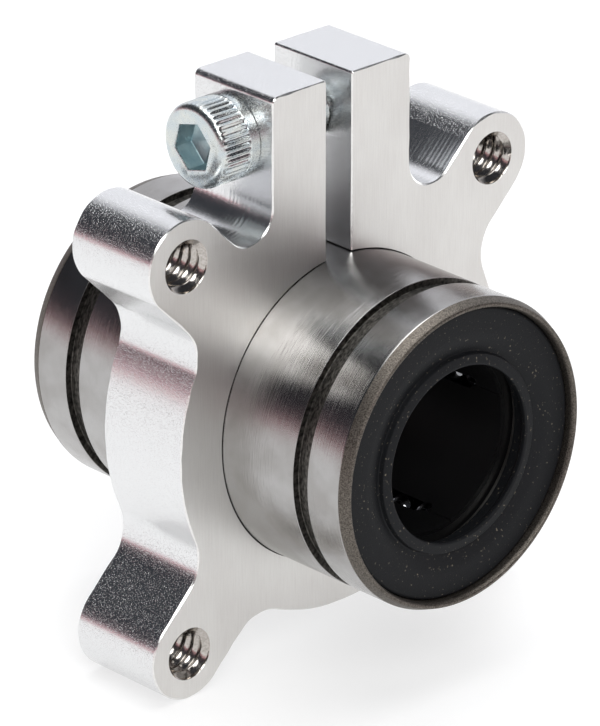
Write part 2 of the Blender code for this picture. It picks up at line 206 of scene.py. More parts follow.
def softened(corners, radii, steps):
    """Rounds each corner of a section with a quadratic curve that starts and ends radius away from it."""
    corners, radii = np.array(corners, float), np.array(radii, float)[:, None]
    before, after = np.roll(corners, 1, 0) - corners, np.roll(corners, -1, 0) - corners
    start = corners + radii * before / np.linalg.norm(before, axis=1, keepdims=True)
    end = corners + radii * after / np.linalg.norm(after, axis=1, keepdims=True)
    t = np.linspace(0, 1, steps)[None, :, None]
    curve = (1 - t) ** 2 * start[:, None] + 2 * t * (1 - t) * corners[:, None] + t**2 * end[:, None]
    return curve.reshape(-1, 2)


def about_bore(radius, along, angle):
    """Cylindrical to straight coordinates: x = r cos a, y = along, z = r sin a."""
    return np.stack(np.broadcast_arrays(radius * np.cos(angle), along, radius * np.sin(angle)), axis=-1)


def about_screw(radius, across, angle):
    """The same about the clamp screw: y = r cos a, z = r sin a above the bore axis, x = across."""
    y, z = SCREW_ALONG + radius * np.cos(angle), SCREW_HEIGHT + radius * np.sin(angle)
    return np.stack(np.broadcast_arrays(across, y, z), axis=-1)


def turned(profile, marks, segments=ROUND_SEGMENTS):
    """A closed section of (radius, along) points carried once round the bore axis."""
    angle = np.arange(segments) * math.tau / segments
    return grid(about_bore(profile[:, :1], profile[:, 1:], angle), True, True, marks)


def wander(along, total, waves):
    """Smooth irregularity that repeats over total: a sum of sines of random phase, about -1 to 1."""
    counts = np.arange(1, waves + 1)[:, None]
    phases = rng.uniform(0, math.tau, (waves, 1))
    weights = rng.uniform(0.3, 1.0, (waves, 1))
    return (weights * np.sin(math.tau * counts * along / total + phases)).sum(0) / math.sqrt(waves / 2)


def helix(start, end, root_r, crest_r, hand, limit):
    """Thread as (radius, along, angle) arrays: along = start + pitch * (u + hand * a / turn).

    u counts pitches. The form is a V with a flat root and a crest worn round, and
    limit(radius, along) trims the radius at the ends.
    """
    share = np.array([0, 0.06, 0.25, 0.40, 0.46, 0.50, 0.54, 0.60, 0.75, 0.94])
    height = np.array([0, 0, 0.5, 0.88, 0.97, 1, 0.97, 0.88, 0.5, 0])
    turns = math.ceil((end - start) / THREAD_PITCH) + 2
    u = (np.arange(-1, turns)[:, None] + share).ravel()[:, None]
    radius = np.tile(root_r + (crest_r - root_r) * height, turns + 1)[:, None]
    angle = np.linspace(0, math.tau, HOLE_SEGMENTS + 1)
    along = np.clip(start + THREAD_PITCH * (u + hand * angle / math.tau), start, end)
    return limit(radius, along), along, angle


# ---------------------------------------------------------------- pieces


def make_piece(name, patches, finishes, body, nodes, sharp_angle=SHARP_ANGLE):
    """Joins patches into one closed mesh that rides on a body and stands for its CAD nodes.

    Each point is moved up to the bore axis and scaled: (x, y, z + AXIS_HEIGHT) * MM.
    """
    mesh = bpy.data.meshes.new(name)
    faces, marks, points, count = [], [], [], 0
    for patch_points, patch_faces, patch_marks in patches:
        faces += [[count + i for i in face] for face in patch_faces]
        marks.append(patch_marks)
        points.append(patch_points)
        count += len(patch_points)
    points = (np.concatenate(points) + (0, 0, AXIS_HEIGHT)) * MM
    mesh.from_pydata(points.tolist(), [], faces)
    for finish in finishes:
        mesh.materials.append(finish)
    mesh.polygons.foreach_set("material_index", np.concatenate(marks).astype(np.int32))
    bm = bmesh.new()
    bm.from_mesh(mesh)
    bmesh.ops.remove_doubles(bm, verts=bm.verts, dist=WELD * MM)
    bmesh.ops.recalc_face_normals(bm, faces=bm.faces)
    bm.to_mesh(mesh)
    bm.free()
    mesh.shade_smooth()
    mesh.set_sharp_from_angle(angle=math.radians(sharp_angle))
    piece = bpy.data.objects.new(name, mesh)
    bpy.context.scene.collection.objects.link(piece)
    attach(piece, body)
    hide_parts(*nodes)
    return piece


def clamp_arcs():
    """The arcs of the outline, counter-clockwise: centre, radius, start, end, sense, crossed.

    sense is 1 where the metal lies inside the arc and -1 in a hollow. crossed says that the
    straight after the arc is a wall which the screw hole goes through.
    """
    side = LOBE_R + LOBE_FILLET_R
    reach = math.sqrt((BODY_R + LOBE_FILLET_R) ** 2 - side**2)
    root = math.degrees(math.atan2(side, reach))

    def turn(x, z, direction):
        c, s = math.cos(math.radians(direction)), math.sin(math.radians(direction))
        return c * x - s * z, s * x + c * z

    def into(d):
        return (turn(reach, -side, d), LOBE_FILLET_R, d + 180 - root, d + 90, -1, False)

    def lobe(d):
        return (turn(LOBE_CIRCLE_R, 0, d), LOBE_R, d - 90, d + 90, 1, False)

    def out_of(d):
        return (turn(reach, side, d), LOBE_FILLET_R, d - 90, d + root - 180, -1, False)

    def body(d):
        return ((0, 0), BODY_R, d + root, d + 90 - root, 1, False)

    def valley(ear_face):
        x = ear_face + VALLEY_FILLET_R
        return x, x + math.sqrt(2) * (LOBE_R + VALLEY_FILLET_R)

    def bore_corner(slot_wall):
        x = slot_wall + BORE_CORNER_R
        return x, math.sqrt((CLAMP_BORE_R + BORE_CORNER_R) ** 2 - x**2)

    def ear_corner(x, radius, start, crossed):
        return ((x, EAR_TOP - radius), radius, start, start + 90, 1, crossed)

    right_x, right_z = valley(EAR_RIGHT)
    left_x, left_z = valley(EAR_LEFT)
    right_bore, left_bore = bore_corner(SLOT_RIGHT), bore_corner(SLOT_LEFT)
    right_angle = math.degrees(math.atan2(right_bore[1], right_bore[0]))
    left_angle = 180 - math.degrees(math.atan2(left_bore[1], left_bore[0]))
    return [
        into(45),
        lobe(45),
        ((right_x, right_z), VALLEY_FILLET_R, -45, -180, -1, True),
        ear_corner(EAR_RIGHT - EAR_CORNER_R, EAR_CORNER_R, 0, False),
        ear_corner(SLOT_RIGHT + SLOT_CORNER_R, SLOT_CORNER_R, 90, True),
        (right_bore, BORE_CORNER_R, 180, 180 + right_angle, 1, False),
        ((0, 0), CLAMP_BORE_R, right_angle, left_angle - 360, -1, False),
        ((-left_bore[0], left_bore[1]), BORE_CORNER_R, left_angle - 180, 0, 1, True),
        ear_corner(-SLOT_LEFT - SLOT_CORNER_R, SLOT_CORNER_R, 0, False),
        ear_corner(-EAR_LEFT + EAR_CORNER_R, EAR_CORNER_R, 90, True),
        ((-left_x, left_z), VALLEY_FILLET_R, 0, -135, -1, False),
        lobe(135),
        out_of(135),
        body(135),
        into(225),
        lobe(225),
        out_of(225),
        body(225),
        into(315),
        lobe(315),
        out_of(315),
        body(315),
    ]


def clamp_outline():
    """Points (x, z), outward normals, and the index ranges of the walls that the screw hole crosses.

    An arc's points are centre + radius * (cos a, sin a), about ARC_STEP apart. The straight to
    the next arc has a few points too, the first and last of them close to its ends.
    """
    arcs = clamp_arcs()
    points, normals, crossed, count = [], [], [], 0
    pieces = []
    for centre, radius, start, end, sense, _ in arcs:
        a = np.radians(np.linspace(start, end, max(7, math.ceil(abs(end - start) / ARC_STEP))))
        ray = np.stack([np.cos(a), np.sin(a)], axis=-1)
        pieces.append((np.array(centre) + radius * ray, sense * ray))
    share = np.array([0.02, 0.12, 0.24, 0.36, 0.5, 0.64, 0.76, 0.88, 0.98])[:, None]
    for k, (arc_points, arc_normals) in enumerate(pieces):
        next_points = pieces[(k + 1) % len(pieces)][0]
        gap = next_points[0] - arc_points[-1]
        points.append(arc_points)
        normals.append(arc_normals)
        count += len(arc_points)
        if np.linalg.norm(gap) > SHORTEST_STRAIGHT:
            points.append(arc_points[-1] + share * gap)
            normals.append(np.repeat(arc_normals[-1:], len(share), axis=0))
            if arcs[k][5]:
                crossed.append((count, count + len(share)))
            count += len(share)
        else:
            points[-1], normals[-1] = arc_points[:-1], arc_normals[:-1]
            count -= 1
    return np.concatenate(points), np.concatenate(normals), crossed


def lobe_centres():
    angle = np.radians(LOBE_ANGLES)
    return LOBE_CIRCLE_R * np.stack([np.cos(angle), np.sin(angle)], axis=-1)


def level(outline, depth):
    """The outline's (x, z) points at one depth of the plate, or a depth for each point."""
    return np.insert(outline, 1, depth, axis=1)


def build_clamp(finishes):
    """The plate: two faces, a chamfer and a wall along the outline, four tapped holes, two ear holes."""
    face, wall, edge, tapped, valley = range(5)
    outline, normals, crossed = clamp_outline()
    steps = np.linalg.norm(np.roll(outline, -1, 0) - outline, axis=1)
    along = np.concatenate([[0], np.cumsum(steps)[:-1]])
    # The bore's edges are broken less than the others, and grow to them over four corner radii
    from_bore = np.clip((np.hypot(*outline.T) - CLAMP_BORE_R) / (4 * BORE_CORNER_R), 0, 1)
    broken = BORE_CHAMFER + (EDGE_CHAMFER - BORE_CHAMFER) * from_bore
    patches, mouths, inner_rows = [], {-1: [], 1: []}, {}
    for end in (-1, 1):
        width = broken * (1 + CHAMFER_WANDER * wander(along, steps.sum(), CHAMFER_WAVES))
        outer = level(outline - width[:, None] * normals, end * PLATE_HALF)
        inner = level(outline, end * (PLATE_HALF - width))
        patches.append(grid(np.stack([outer, inner]), round_v=True, marks=edge))
        inner_rows[end] = inner
        mouths[end].append(outer)
    front, back = inner_rows[-1], inner_rows[1]
    plain = np.ones(len(outline), bool)
    for start, stop in crossed:
        plain[start : stop - 1] = False
    points, quads, _ = grid(np.stack([front, back]), round_v=True)
    # The cutter chattered in the hollows beside the ears
    across, height = np.abs(outline).T
    in_valley = (across > EAR_RIGHT) & (across < VALLEY_END) & (height > VALLEY_LOW) & (height < VALLEY_HIGH)
    marks = np.where(in_valley & (outline[:, 1] > 0), valley, wall)
    patches.append((points, [q for q, keep in zip(quads, plain) if keep], marks[plain]))

    mouth = np.arange(HOLE_SEGMENTS) * math.tau / HOLE_SEGMENTS
    for x, z in lobe_centres():

        def countersunk(radius, depth):
            return np.maximum(radius, HOLE_MOUTH_R - MOUTH_SLOPE * (PLATE_HALF - np.abs(depth)))

        thread = helix(-PLATE_HALF, PLATE_HALF, THREAD_MAJOR_R, THREAD_MINOR_R, -1, countersunk)
        patches.append(grid(about_bore(*thread) + (x, 0, z), marks=tapped))
        for end in (-1, 1):
            mouths[end].append(about_bore(HOLE_MOUTH_R, end * PLATE_HALF, mouth) + (x, 0, z))
    patches += [filled(mouths[-1], face), filled(mouths[1], face)]

    for start, stop in crossed:
        wall_x = outline[start, 0]
        radius = (CLEARANCE_R if wall_x < 0 else TAPPED_R) + EAR_HOLE_CHAMFER
        rim = np.concatenate([front[start:stop], back[start:stop][::-1]])
        patches.append(filled([rim, about_screw(radius, wall_x, mouth)], wall))
    patches += [clearance_hole(-EAR_LEFT, -SLOT_LEFT, mouth, wall), ear_thread(tapped)]
    return make_piece("split_flange_clamp", patches, finishes, "clamp", ["clamp_housing"])


def clearance_hole(start, end, angle, mark):
    """The plain hole through the left ear, chamfered at both mouths."""
    chamfer = EAR_HOLE_CHAMFER
    x = np.array([start, start + chamfer, end - chamfer, end])[:, None]
    radius = np.array([CLEARANCE_R + chamfer, CLEARANCE_R, CLEARANCE_R, CLEARANCE_R + chamfer])[:, None]
    return grid(about_screw(radius, x, angle), round_v=True, marks=mark)


def ear_thread(mark):
    """The tapped hole through the right ear, with crests that stand just clear of the screw."""

    def countersunk(radius, x):
        depth = np.minimum(x - SLOT_RIGHT, EAR_RIGHT - x)
        at_mouth = TAPPED_R + EAR_HOLE_CHAMFER
        trimmed = np.where(depth > 0, np.minimum(radius, at_mouth), at_mouth)
        return np.where(depth < EAR_MOUTH_DEPTH, trimmed, radius)

    thread = helix(SLOT_RIGHT, EAR_RIGHT, TAPPED_ROOT_R, TAPPED_R, 1, countersunk)
    return grid(about_screw(*thread), marks=mark)


def build_screw(finishes):
    """Socket head cap screw with its head on the left ear: knurled head, hexagon socket, thread."""
    # socket numbers the finish of the hexagon's walls and floor, a darker copy of the plate that is painted
    # shade
    plated, socket = 0, 1
    count = KNURLS * KNURL_STEPS
    angle = np.arange(count) * math.tau / count
    flute = KNURL_DEPTH * (0.5 - 0.5 * np.cos(KNURLS * angle)) ** 0.8

    # Rows of the head: a plain band, a knurled band, and a rim rounded through a quarter circle
    turn = np.linspace(0, math.pi / 2, 8)
    band = np.array([0, 0.03, HEAD_BAND - 0.03, HEAD_BAND, HEAD_BAND + 0.1, HEAD_BAND + 0.25])
    rim = HEAD_HEIGHT - HEAD_RIM * (1 - np.sin(turn))
    height = np.concatenate([band, [HEAD_HEIGHT - HEAD_RIM - 0.25], rim])[:, None]
    inset = np.concatenate([[0.04, 0, 0, 0.03, 0.02, 0, 0], HEAD_RIM * (1 - np.cos(turn))])[:, None]
    cut = np.concatenate([[0, 0, 0, 0, 0.5, 1, 1, 0.8, 0.4, 0.1], np.zeros(5)])[:, None]
    head = about_screw(HEAD_R - inset - cut * flute, HEAD_X - height, angle)

    # A hexagon in polar form: half the width across flats over the cosine of the angle off the flat
    off_flat = np.mod(angle - math.radians(HEX_FLAT_ANGLE) + math.pi / 6, math.pi / 3) - math.pi / 6
    hexagon = HEX_FLATS / 2 / np.cos(off_flat)
    top = HEAD_X - HEAD_HEIGHT
    rings = [
        (np.full(count, HEAD_R - HEAD_RIM), top),
        (hexagon + 0.08, top),
        (hexagon + 0.02, top + 0.03),
        (hexagon, top + 0.12),
        (hexagon, top + HEX_DEPTH - 0.1),
        (hexagon * 0.96, top + HEX_DEPTH),
        (hexagon * 0.9, top + HEX_DEPTH + 0.03),
        (np.full(count, DRILL_FLAT_R), top + HEX_DEPTH + HEX_CONE),
        (np.full(count, POLE_R), top + HEX_DEPTH + HEX_CONE),
    ]
    pit = about_screw(np.array([r for r, _ in rings]), np.array([[x] for _, x in rings]), angle)

    ring = np.arange(HOLE_SEGMENTS) * math.tau / HOLE_SEGMENTS
    seat = filled([head[0], about_screw(NECK_R + UNDERHEAD_FILLET, HEAD_X, ring)], plated)

    def trimmed(radius, x):
        into_neck = THREAD_MINOR_R + (x - HEAD_X - NECK_LENGTH)
        end_chamfer = TIP_R + (HEAD_X + SCREW_LENGTH - x)
        return np.minimum(radius, np.minimum(np.maximum(into_neck, THREAD_MINOR_R), end_chamfer))

    thread = helix(HEAD_X + NECK_LENGTH, HEAD_X + SCREW_LENGTH, THREAD_MINOR_R, THREAD_MAJOR_R, 1, trimmed)
    collar_r = np.array([NECK_R + UNDERHEAD_FILLET, NECK_R, THREAD_MINOR_R])[:, None]
    collar_x = HEAD_X + np.array([0, UNDERHEAD_FILLET, NECK_LENGTH])[:, None]
    tip_r = np.array([[TIP_R], [POLE_R]])
    patches = [
        grid(head, round_v=True, marks=plated),
        grid(pit, round_v=True, marks=[plated, plated, plated] + [socket] * 5),
        seat,
        grid(about_screw(*thread), marks=plated),
        grid(about_screw(collar_r, collar_x, ring), round_v=True, marks=plated),
        grid(about_screw(tip_r, HEAD_X + SCREW_LENGTH, ring), round_v=True, marks=plated),
    ]
    nodes, sharp = ["clamp_screw"], SCREW_SHARP_ANGLE
    return make_piece("socket_head_screw", patches, finishes, "screw", nodes, sharp)


def build_sleeve(finishes):
    """Hardened outer sleeve. Rows: rounded rim, ground outside, two retaining grooves, bored inside."""
    ground, rim, groove = range(3)
    end, start = -SLEEVE_HALF, -SLEEVE_HALF + GROOVE_START
    half = [
        # radius, along, corner rounding, finish from here on
        (RECESS_R + 0.12, end, 0.08, rim),
        (RIM_R, end, 0.12, rim),
        (SLEEVE_R, end + RIM_LENGTH, 0.06, ground),
        (SLEEVE_R, start, 0.04, groove),
        (GROOVE_R, start, 0.08, groove),
        (GROOVE_R, start + GROOVE_WIDTH, 0.08, groove),
        (SLEEVE_R, start + GROOVE_WIDTH, 0.04, ground),
    ]
    inside = [
        (RECESS_R, end + 0.25, 0.1, rim),
        (RECESS_R, end + RECESS_DEPTH, 0.05, rim),
        (SLEEVE_BORE_R, end + RECESS_DEPTH, 0.05, rim),
    ]
    # Going back along the mirrored half, a finish belongs to the step before
    mirror = [(r, -y, s, half[max(k - 1, 0)][3]) for k, (r, y, s, _) in enumerate(half)][::-1]
    inside_mirror = [(r, -y, s, rim) for r, y, s, _ in inside]
    rows = half + mirror + inside_mirror + inside[::-1]
    steps = 5
    profile = softened([(r, y) for r, y, _, _ in rows], [s for _, _, s, _ in rows], steps)
    marks = np.repeat([m for _, _, _, m in rows], steps)
    return make_piece(
        "ground_sleeve", [turned(profile, marks)], finishes, "bushing", ["outer_sleeve"]
    )


def build_seal(name, side, finishes):
    """Rubber seal: flat ring, a crease, and a lip that rises to the shaft like a shallow cone."""
    end = SLEEVE_HALF
    corners = [
        # radius, depth from the end of the sleeve, corner rounding
        (SEAL_R, SEAL_BACK, 0.05),
        (SEAL_R, SEAL_FACE + 0.1, 0.08),
        (SEAL_R - 0.15, SEAL_FACE, 0.1),
        (COLLAR_R + 1.2, SEAL_FACE + 0.03, 0.3),
        (COLLAR_R + 0.12, SEAL_FACE + 0.32, 0.05),
        (COLLAR_R + 0.02, SEAL_FACE + 0.3, 0.05),
        (COLLAR_R - 0.06, SEAL_FACE - 0.04, 0.06),
        (LIP_R + 0.12, SEAL_FACE - 0.14, 0.06),
        (LIP_R, SEAL_FACE - 0.06, 0.05),
        (LIP_R, SEAL_FACE + 0.2, 0.06),
        (THROAT_R, SEAL_FACE + 0.65, 0.1),
        (THROAT_R, SEAL_BACK, 0.05),
    ]
    profile = softened([(r, side * (end - d)) for r, d, _ in corners], [s for _, _, s in corners], 6)
    return make_piece(
        f"{name}_rubber_seal", [turned(profile, 0)], finishes, "bushing", [f"{name}_seal"]
    )


def build_stop_ring(name, finishes):
    """Flat stamped ring behind the seal, with edges broken a little."""
    low, high = node_box(f"{name}_stop_ring")
    corners = [(SEAL_R, low[1]), (SEAL_R, high[1]), (RING_BORE_R, high[1]), (RING_BORE_R, low[1])]
    profile = softened(corners, [0.08] * 4, 5)
    return make_piece(
        f"{name}_pressed_ring", [turned(profile, 0)], finishes, "bushing", [f"{name}_stop_ring"]
    )


def build_cage(finish):
    """The cage keeps its CAD shape, with the round walls shaded smooth."""
    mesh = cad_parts["ball_cage"].data.copy()
    bm = bmesh.new()
    bm.from_mesh(mesh)
    bmesh.ops.remove_doubles(bm, verts=bm.verts, dist=CAGE_WELD * MM)
    bm.to_mesh(mesh)
    bm.free()
    mesh.materials.clear()
    mesh.materials.append(finish)
    mesh.shade_smooth()
    mesh.set_sharp_from_angle(angle=math.radians(CAGE_SHARP_ANGLE))
    cage = bpy.data.objects.new("moulded_cage", mesh)
    bpy.context.scene.collection.objects.link(cage)
    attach(cage, "bushing")
    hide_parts("ball_cage")
    return cage


def build_cage_lips(finish):
    """Thin walls inside the cage, each reaching from one loaded row to the next.

    The slot left for a row is, at radius r, as wide as the ball is there:
    sqrt(R^2 - (row radius - r)^2) each side, closed by half an ellipse at either end.
    """
    straight = HALF_STRAIGHT + LIP_SLOT_OVERRUN
    bend = straight + np.sin(np.linspace(0, math.pi / 2, 9)) * BALL_R / 2
    y = np.concatenate([[-LIP_WALL_HALF], -bend[::-1], bend, [LIP_WALL_HALF]])[:, None]
    closing = np.sqrt(np.clip(1 - ((np.abs(y) - straight).clip(0) / (BALL_R / 2)) ** 2, 0, 1))
    share = np.linspace(0, 1, 25)
    patches = []
    for k in range(CIRCUITS):
        start = math.radians(FIRST_CIRCUIT_ANGLE + 90 * k)
        arcs = []
        for radius in (LIP_WALL_INNER_R, LIP_WALL_OUTER_R):
            half_width = math.sqrt(BALL_R**2 - (LOADED_ROW_R - radius) ** 2) * closing + LIP_CLEARANCE
            cut = np.arcsin(half_width / radius)
            arcs.append(about_bore(radius, y, start + cut + share * (math.pi / 2 - 2 * cut)))
        loops = np.concatenate([arcs[0], arcs[1][:, ::-1]], axis=1)
        patches += [grid(loops, round_v=True), filled([loops[0]], 0), filled([loops[-1]], 0)]
    return make_piece("cage_lips", patches, [finish], "bushing", ["ball_cage"])


def sphere(centre):
    """Ball surface: centre + R * (sin p cos t, sin p sin t, cos p), closed at both poles."""
    p = np.linspace(0, math.pi, 15)[:, None]
    t = np.arange(24) * math.tau / 24
    ray = np.stack(np.broadcast_arrays(np.sin(p) * np.cos(t), np.sin(p) * np.sin(t), np.cos(p)), axis=-1)
    return grid(centre + BALL_R * ray, round_v=True)


def circuit_points(k, across, along):
    """Ball centres of circuit k, whose flat track touches the loaded row.

    centre = row radius * outward ray - across * sideways ray, at the given distance along the bore.
    """
    angle = math.radians(FIRST_CIRCUIT_ANGLE + 90 * k)
    out = np.array([math.cos(angle), 0, math.sin(angle)])
    sideways = np.array([math.sin(angle), 0, -math.cos(angle)])
    across, along = np.broadcast_arrays(across, along)
    return LOADED_ROW_R * out + across[:, None] * sideways + along[:, None] * np.array([0, 1, 0])


def build_balls(finish):
    """Polished balls in four circuits: eight loaded, eight returning and three round each turn."""
    row = (np.arange(LOADED_BALLS) - (LOADED_BALLS - 1) / 2) * BALL_PITCH
    turn = (np.arange(TURN_BALLS) + 0.5) * BALL_PITCH / TURN_R
    for k in range(CIRCUITS):
        circuit = f"circuit_{k + 1}"
        groups = [
            (f"ball_{i + 1}", "loaded_balls", circuit_points(k, 0.0, row[i : i + 1]))
            for i in range(LOADED_BALLS)
        ]
        groups.append(("return_row", "return_balls", circuit_points(k, -2 * TURN_R, row)))
        for end, side in (("front", -1), ("rear", 1)):
            across = TURN_R * (side * np.cos(turn) - 1)
            along = side * (HALF_STRAIGHT + TURN_R * np.sin(turn))
            groups.append((f"{end}_turn", f"{end}_turn_balls", circuit_points(k, across, along)))
        for node, body, centres in groups:
            make_piece(
                f"{circuit}_{node}_polished",
                [sphere(centre) for centre in centres],
                [finish],
                f"{circuit}_{body}",
                [f"{circuit}_{node}"],
            )


# ---------------------------------------------------------------- finishes


def linear(hex_colour):
    """An sRGB hex colour as linear light with alpha 1."""
    values = [int(hex_colour[i : i + 2], 16) / 255 for i in (1, 3, 5)]
    return tuple(v / 12.92 if v <= 0.04045 else ((v + 0.055) / 1.055) ** 2.4 for v in values) + (1.0,)


def add(tree, kind, inputs=(), **settings):
    """Adds a node with its settings. Each input is a value, or a socket to link from."""
    made = tree.nodes.new(kind)
    for name, value in settings.items():
        setattr(made, name, value)
    for name, value in dict(inputs).items():
        if isinstance(value, bpy.types.NodeSocket):
            tree.links.new(value, made.inputs[name])
        else:
            made.inputs[name].default_value = value
    return made


def new_finish(name, constants, patterns, colours, uneven=None, bumps=()):
    """A material whose Principled shader is driven by noise in the piece's Object coordinates.

    constants are values on the shader's own sockets. patterns gives each noise the size of its
    grains along X, Y and Z in millimetres, and its detail. colours is a base and then layers over
    it, uneven varies the roughness, and bumps are heights in microns, laid one on another. Each of
    these names its pattern, or two that are added up. The two values after that are the ones at
    which it starts and is full, and uneven goes on with the roughness there.
    """
    material = bpy.data.materials.new(name)
    material.use_nodes = True
    tree = material.node_tree
    shader = tree.nodes["Principled BSDF"]
    for socket, value in constants.items():
        shader.inputs[socket].default_value = value
    place = add(tree, "ShaderNodeTexCoord").outputs["Object"]
    noise = {}
    for pattern, (size_mm, detail) in patterns.items():
        scale = [1 / (MM * size) for size in size_mm]
        mapped = add(tree, "ShaderNodeMapping", {"Vector": place, "Scale": scale}).outputs["Vector"]
        made = add(tree, "ShaderNodeTexNoise", {"Vector": mapped, "Scale": 1.0, "Detail": detail})
        noise[pattern] = made.outputs["Fac"]

    def drawn(names, *limits):
        """The named patterns added up, and stretched between the limits where these are given."""
        first, *others = names.split()
        value = noise[first]
        for other in others:
            both = {0: value, 1: noise[other]}
            value = add(tree, "ShaderNodeMath", both, operation="ADD").outputs[0]
        if limits:
            ends = dict(zip(("From Min", "From Max", "To Min", "To Max"), limits))
            value = add(tree, "ShaderNodeMapRange", {"Value": value, **ends}).outputs["Result"]
        return value

    base, *layers = colours
    colour = linear(base)
    for over, names, *limits in layers:
        mixed = {0: drawn(names, *limits), 6: colour, 7: linear(over)}
        colour = add(tree, "ShaderNodeMix", mixed, data_type="RGBA").outputs[2]
    tree.links.new(colour, shader.inputs["Base Color"])
    if uneven:
        tree.links.new(drawn(*uneven), shader.inputs["Roughness"])
    bump = {"Strength": 1.0}
    for microns, names, *limits in bumps:
        bump.update({"Height": drawn(names, *limits), "Distance": microns * 1e-6})
        bump["Normal"] = add(tree, "ShaderNodeBump", bump).outputs["Normal"]
    if bumps:
        tree.links.new(bump["Normal"], shader.inputs["Normal"])
    return material


def brushed_aluminium_face():
    """Aluminium plate, its broad faces sanded up and down: bright satin with fine vertical grain.

    Abrasive lines are about 0.02 mm wide. They are drawn 0.06 mm wide, which still shows.
    """
    return new_finish(
        "brushed_aluminium_face",
        {"Metallic": 1.0},
        {"grain": ((0.06, 0.06, 2.0), 3), "speck": ((0.11, 0.11, 0.13), 2), "cloud": ((3, 3, 5), 2)},
        ["#d4d2cf", ("#dcdbd8", "grain cloud", 0.75, 1.25)],
        uneven=("speck", 0.3, 0.7, 0.34, 0.46),
        bumps=[(1.8, "grain"), (3.2, "speck")],
    )


def milled_aluminium(name, torn_microns, chatter_microns):
    """Aluminium cut by the side of an end mill: smoother and brighter, with cusps across Y.

    The cusps are a quarter of a millimetre apart and show most where the cutter chattered. Torn
    spots, where the cutter dragged a chip, each throw back a point of light.
    """
    return new_finish(
        name,
        {"Metallic": 1.0, "Roughness": 0.2},
        {"speck": ((0.12,) * 3, 2), "torn": ((0.07,) * 3, 1), "cusps": ((40, 0.25, 40), 0)},
        ["#dddddd", ("#e6e7e8", "speck")],
        bumps=[(4, "speck"), (torn_microns, "torn", 0.58, 0.74), (chatter_microns, "cusps")],
    )


def deburred_aluminium_edge():
    """Edges broken by hand: bright and uneven."""
    return new_finish(
        "deburred_aluminium_edge",
        {"Metallic": 1.0, "Roughness": 0.25},
        {"nicks": ((0.25,) * 3, 3)},
        ["#d8d7d4", ("#f0f0ef", "nicks")],
        bumps=[(14, "nicks")],
    )


def tapped_aluminium_painted_shade():
    """Cut threads: torn a little by the tap, so glints are broken up. The dark, warm base colour is painted
    shade inside the holes; the paler torn mottle is the metal's own.
    """
    return new_finish(
        "tapped_aluminium_painted_shade",
        {"Metallic": 1.0, "Roughness": 0.13},
        {"tear": ((0.12, 0.3, 0.12), 3)},
        # Dark warm base: painted shade inside the tapped holes. Tear: paler metal where the tap tore it.
        ["#8d8780", ("#d2cdc8", "tear")],
        bumps=[(4, "tear")],
    )


def zinc_plate(name, dark, light, roughness):
    """Steel with clear passivated zinc plate: blue-white, with a slight yellow cast in places."""
    return new_finish(
        name,
        {"Metallic": 1.0},
        {"cloud": ((0.8,) * 3, 3), "speck": ((0.1,) * 3, 2)},
        [dark, (light, "cloud", 0.35, 0.65)],
        uneven=("speck", 0.3, 0.7, roughness - 0.05, roughness + 0.07),
        bumps=[(5, "speck")],
    )


def ground_bearing_steel():
    """Hardened steel ground round its outside: grey, with fine lines that run round it.

    The wheel leaves lines finer than 0.01 mm, which smear reflections along the bore. They are
    drawn 0.05 mm apart, which still shows.
    """
    return new_finish(
        "ground_bearing_steel",
        {"Metallic": 1.0},
        {"lines": ((3, 0.05, 3), 2), "speck": ((0.1,) * 3, 2), "cloud": ((2.5,) * 3, 3)},
        ["#9b9997", ("#aaa9a8", "cloud", 0.35, 0.65)],
        uneven=("speck", 0.3, 0.7, 0.16, 0.24),
        bumps=[(12, "lines"), (3, "speck")],
    )


def turned_steel_rim():
    """The sleeve's end, turned and left from hardening: grey-brown and duller than the ground part."""
    return new_finish(
        "turned_steel_rim",
        {"Metallic": 1.0, "Roughness": 0.48},
        {"speck": ((0.09,) * 3, 3)},
        ["#48443f", ("#77716a", "speck", 0.35, 0.65)],
        bumps=[(14, "speck")],
    )


def blackened_groove():
    """Groove bottoms keep the dark scale of hardening: dark grey and rough."""
    return new_finish(
        "blackened_groove",
        {"Metallic": 0.9, "Roughness": 0.42},
        {"scale": ((0.3, 0.15, 0.3), 3)},
        ["#2e2d2b", ("#6c6964", "scale", 0.35, 0.7)],
        bumps=[(15, "scale")],
    )


def nitrile_rubber():
    """Moulded nitrile rubber: matte black with fine grain, and specks of dust that cling to it."""
    return new_finish(
        "nitrile_rubber",
        {"Roughness": 0.55, "Specular IOR Level": 0.15},
        {"grain": ((0.1,) * 3, 3), "dust": ((0.2,) * 3, 1)},
        ["#0e0f11", ("#191b1e", "grain"), ("#6e685c", "dust", 0.68, 0.80)],
        bumps=[(14, "grain")],
    )


def moulded_cage_resin():
    """Black acetal cage: smooth moulding with a soft gloss."""
    return new_finish(
        "moulded_cage_resin",
        {"Roughness": 0.38},
        {"grain": ((0.2,) * 3, 2)},
        ["#0b0b0c", ("#131314", "grain")],
        bumps=[(4, "grain")],
    )


def polished_ball_steel_painted_shade():
    """Lapped bearing balls: mirror smooth, with a base colour darker than bare steel as painted shade for
    balls deep in the dark bore.
    """
    return new_finish(
        "polished_ball_steel_painted_shade",
        {"Metallic": 1.0},
        {"haze": ((0.4,) * 3, 2)},
        # Darker than bare steel: painted shade for the balls inside the bore. Haze: their own uneven polish.
        ["#7c7d80", ("#939497", "haze")],
        uneven=("haze", 0.3, 0.7, 0.05, 0.1),
    )


def pressed_ring_steel():
    """Stamped steel ring: flat grey with a matte, slightly oily skin."""
    return new_finish(
        "pressed_ring_steel",
        {"Metallic": 1.0, "Roughness": 0.4},
        {"skin": ((0.4,) * 3, 3)},
        ["#7c7a77", ("#94928e", "skin")],
        bumps=[(6, "skin")],
    )


